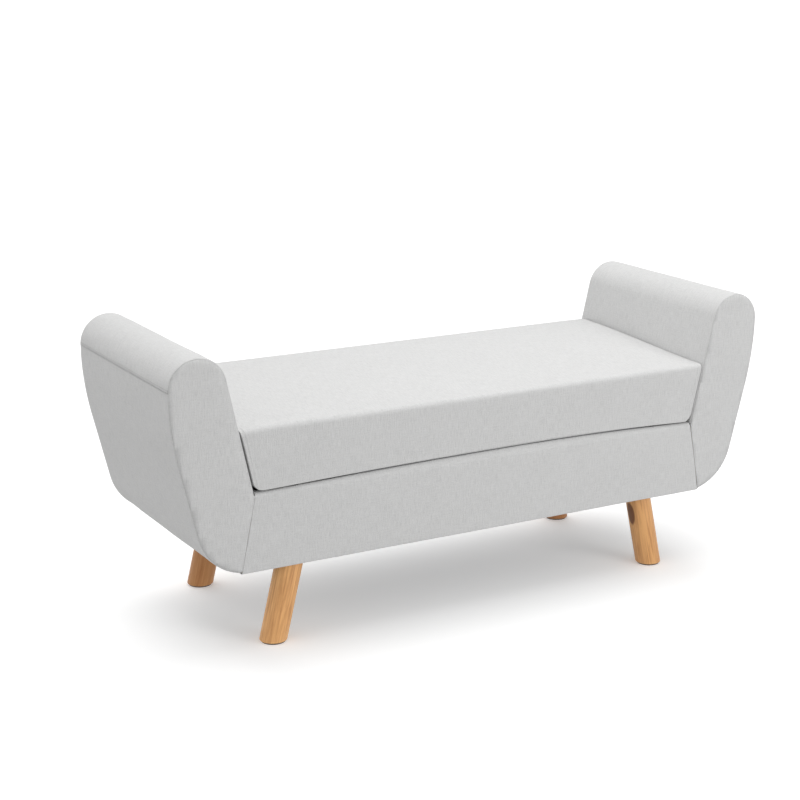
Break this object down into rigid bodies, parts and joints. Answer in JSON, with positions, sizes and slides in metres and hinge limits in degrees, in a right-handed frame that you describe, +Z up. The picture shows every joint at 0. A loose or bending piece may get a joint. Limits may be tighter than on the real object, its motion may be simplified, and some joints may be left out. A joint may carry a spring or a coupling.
{
  "type": "storage bench",
  "caption": "Upholstered storage bench with two rolled armrests, splayed round wooden legs and a padded seat that lifts on rear hinges over a lined box.",
  "frame": {"origin": "on the floor at the middle of the bench's length and depth", "axes": "+X to the bench's right as seen from the front, along its length; +Y to the back; +Z up"},
  "size_m": [1.296, 0.43, 0.562],
  "materials": {
    "upholstery_fabric": "matte",
    "upholstery_foam": "matte",
    "plywood": "matte",
    "pine_batten": "matte",
    "hardboard": "matte",
    "leg_wood": "satin",
    "box_lining": "matte",
    "dust_cloth": "matte",
    "zinc_steel": "satin",
    "black_steel": "satin",
    "bumper_rubber": "matte",
    "glide_plastic": "matte"
  },
  "bodies": {
    "base": {"armrest_left_cover_wrap": "upholstery_fabric", "armrest_left_cover_outer": "upholstery_fabric", "armrest_left_cover_front": "upholstery_fabric", "armrest_left_cover_back": "upholstery_fabric", "armrest_left_foam": "upholstery_foam", "armrest_left_skin": "hardboard", "armrest_left_front_board": "plywood", "armrest_left_back_board": "plywood", "armrest_left_stretchers": "pine_batten", "armrest_right_cover_wrap": "upholstery_fabric", "armrest_right_cover_outer": "upholstery_fabric", "armrest_right_cover_front": "upholstery_fabric", "armrest_right_cover_back": "upholstery_fabric", "armrest_right_foam": "upholstery_foam", "armrest_right_skin": "hardboard", "armrest_right_front_board": "plywood", "armrest_right_back_board": "plywood", "armrest_right_stretchers": "pine_batten", "armrest_screws": "zinc_steel", "armrest_bolts": "zinc_steel", "armrest_washers": "zinc_steel", "front_rail": "plywood", "back_rail": "plywood", "end_panel_left": "plywood", "end_panel_right": "plywood", "frame_screws": "zinc_steel", "floor_panel": "plywood", "floor_battens": "pine_batten", "front_rail_foam": "upholstery_foam", "front_rail_cover": "upholstery_fabric", "back_rail_cover": "upholstery_fabric", "box_lining": "box_lining", "dust_cover": "dust_cloth", "leg_front_left": "leg_wood", "leg_front_right": "leg_wood", "leg_back_left": "leg_wood", "leg_back_right": "leg_wood", "leg_bolts": "zinc_steel", "leg_plates": "black_steel", "leg_plate_screws": "zinc_steel", "leg_glides": "glide_plastic", "hinge_box_leaves": "zinc_steel", "hinge_pins": "zinc_steel", "hinge_box_screws": "zinc_steel", "stay_bases": "black_steel", "stay_base_screws": "zinc_steel"},
    "lid": {"lid_board": "plywood", "seat_foam": "upholstery_foam", "seat_cover": "upholstery_fabric", "lid_lining": "box_lining", "lid_bumpers": "bumper_rubber", "hinge_lid_leaves": "zinc_steel", "hinge_lid_screws": "zinc_steel", "stay_brackets": "black_steel", "stay_bracket_screws": "zinc_steel"},
    "stay_arm_left": {"stay_arm_left": "black_steel"},
    "stay_link_left": {"stay_link_left": "black_steel"},
    "stay_arm_right": {"stay_arm_right": "black_steel"},
    "stay_link_right": {"stay_link_right": "black_steel"}
  },
  "joints": [
    {"name": "lid_hinge", "type": "hinge", "parent": "base", "child": "lid", "pos_m": [0, 0.211, 0.3065], "axis": [-1, 0, 0], "range_deg": [0, 85]},
    {"name": "stay_arm_pivot_left", "type": "hinge", "parent": "base", "child": "stay_arm_left", "pos_m": [0, 0.166, 0.2445], "axis": [-1, 0, 0], "range_deg": [0, 85]},
    {"name": "stay_link_pivot_left", "type": "hinge", "parent": "lid", "child": "stay_link_left", "pos_m": [0, 0.001, 0.2925], "axis": [1, 0, 0], "range_deg": [0, 85]},
    {"name": "stay_arm_pivot_right", "type": "hinge", "parent": "base", "child": "stay_arm_right", "pos_m": [0, 0.166, 0.2445], "axis": [-1, 0, 0], "range_deg": [0, 85]},
    {"name": "stay_link_pivot_right", "type": "hinge", "parent": "lid", "child": "stay_link_right", "pos_m": [0, 0.001, 0.2925], "axis": [1, 0, 0], "range_deg": [0, 85]}
  ],
  "couplings": [
    {"joint": "stay_arm_pivot_left", "follows": "lid_hinge", "ratio": 1},
    {"joint": "stay_link_pivot_left", "follows": "lid_hinge", "ratio": 1},
    {"joint": "stay_arm_pivot_right", "follows": "lid_hinge", "ratio": 1},
    {"joint": "stay_link_pivot_right", "follows": "lid_hinge", "ratio": 1}
  ]
}
